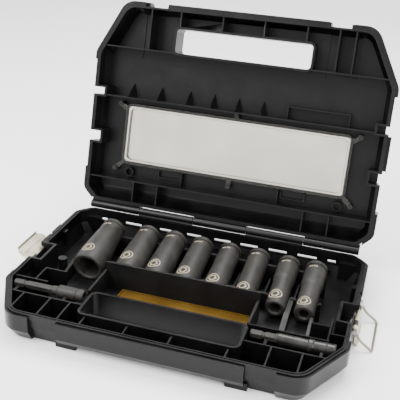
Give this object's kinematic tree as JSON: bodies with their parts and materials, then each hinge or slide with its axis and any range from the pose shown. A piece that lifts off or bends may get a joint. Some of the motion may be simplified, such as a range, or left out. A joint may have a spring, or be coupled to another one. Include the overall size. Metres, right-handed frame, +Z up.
{
  "type": "socket wrench set in case",
  "caption": "Hinged black plastic case, open, holding a row of deep impact sockets and hex-shank adapters, with draw latches at the sides and a clear window in the lid.",
  "frame": {"origin": "middle of the bottom of the open set's bounding box, on the surface the case stands on", "axes": "+X across the case to the right, +Y to the hinge side, +Z up"},
  "size_m": [0.3312, 0.278, 0.228],
  "materials": {
    "case_plastic": "black moulded plastic, fine texture outside, smoother inside",
    "amber_plastic": "amber sheet",
    "clear_plastic": "clear moulded plastic",
    "pin_steel": "bright zinc plate",
    "latch_plate": "nickel plate, slightly warm",
    "bail_wire": "plated wire",
    "phosphate_steel": "dark phosphate coating, fine matte grain",
    "bright_steel": "dark satin steel",
    "screw_black": "black oxide"
  },
  "bodies": {
    "base": {"base_shell": "case_plastic", "socket_rack": "case_plastic", "bin_walls": "case_plastic", "bin_liner": "amber_plastic", "hinge_pin": "pin_steel", "latch_right_bracket": "latch_plate", "latch_right_rivets": "pin_steel", "latch_right_pin": "pin_steel", "latch_left_bracket": "latch_plate", "latch_left_rivets": "pin_steel", "latch_left_pin": "pin_steel"},
    "lid": {"lid_shell": "case_plastic", "lid_window": "clear_plastic", "window_screws": "screw_black"},
    "lever_right": {"latch_right_lever": "latch_plate"},
    "lever_left": {"latch_left_lever": "latch_plate"},
    "bail_right": {"latch_right_bail": "bail_wire"},
    "bail_left": {"latch_left_bail": "bail_wire"},
    "socket_a": {"socket_a": "phosphate_steel"},
    "socket_b": {"socket_b": "phosphate_steel"},
    "socket_c": {"socket_c": "phosphate_steel"},
    "socket_d": {"socket_d": "phosphate_steel"},
    "socket_e": {"socket_e": "phosphate_steel"},
    "socket_f": {"socket_f": "phosphate_steel"},
    "socket_g": {"socket_g": "phosphate_steel"},
    "socket_h": {"socket_h": "phosphate_steel"},
    "adapter_left": {"adapter_left_shank": "phosphate_steel", "adapter_left_sleeve": "phosphate_steel", "adapter_left_ring": "pin_steel"},
    "adapter_right": {"adapter_right_shank": "phosphate_steel", "adapter_right_sleeve": "bright_steel", "adapter_right_ring": "pin_steel"}
  },
  "joints": [
    {"name": "lid_hinge", "type": "hinge", "parent": "base", "child": "lid", "pos_m": [0, 0.06423, 0.0292], "axis": [-1, 0, 0], "range_deg": [-105.6, 0]},
    {"name": "lever_right_pivot", "type": "hinge", "parent": "base", "child": "lever_right", "pos_m": [0.1482, -0.02857, 0.0173], "axis": [0, -1, 0], "range_deg": [0, 120]},
    {"name": "lever_left_pivot", "type": "hinge", "parent": "base", "child": "lever_left", "pos_m": [-0.1482, -0.02857, 0.0173], "axis": [0, 1, 0], "range_deg": [-120, 0]},
    {"name": "bail_right_pivot", "type": "hinge", "parent": "base", "child": "bail_right", "pos_m": [0.1482, -0.02857, 0.0173], "axis": [0, 1, 0], "range_deg": [-132.8, 0]},
    {"name": "bail_left_pivot", "type": "hinge", "parent": "base", "child": "bail_left", "pos_m": [-0.1482, -0.02857, 0.0173], "axis": [0, -1, 0], "range_deg": [-132.8, 0]},
    {"name": "socket_a_lift", "type": "slide", "parent": "base", "child": "socket_a", "axis": [0, 0, 1], "range_m": [0, 0.06]},
    {"name": "socket_b_lift", "type": "slide", "parent": "base", "child": "socket_b", "axis": [0, 0, 1], "range_m": [0, 0.06]},
    {"name": "socket_c_lift", "type": "slide", "parent": "base", "child": "socket_c", "axis": [0, 0, 1], "range_m": [0, 0.06]},
    {"name": "socket_d_lift", "type": "slide", "parent": "base", "child": "socket_d", "axis": [0, 0, 1], "range_m": [0, 0.06]},
    {"name": "socket_e_lift", "type": "slide", "parent": "base", "child": "socket_e", "axis": [0, 0, 1], "range_m": [0, 0.06]},
    {"name": "socket_f_lift", "type": "slide", "parent": "base", "child": "socket_f", "axis": [0, 0, 1], "range_m": [0, 0.06]},
    {"name": "socket_g_lift", "type": "slide", "parent": "base", "child": "socket_g", "axis": [0, 0, 1], "range_m": [0, 0.06]},
    {"name": "socket_h_lift", "type": "slide", "parent": "base", "child": "socket_h", "axis": [0, 0, 1], "range_m": [0, 0.06]},
    {"name": "adapter_left_lift", "type": "slide", "parent": "base", "child": "adapter_left", "axis": [0, 0, 1], "range_m": [0, 0.05]},
    {"name": "adapter_right_lift", "type": "slide", "parent": "base", "child": "adapter_right", "axis": [0, 0, 1], "range_m": [0, 0.05]}
  ]
}
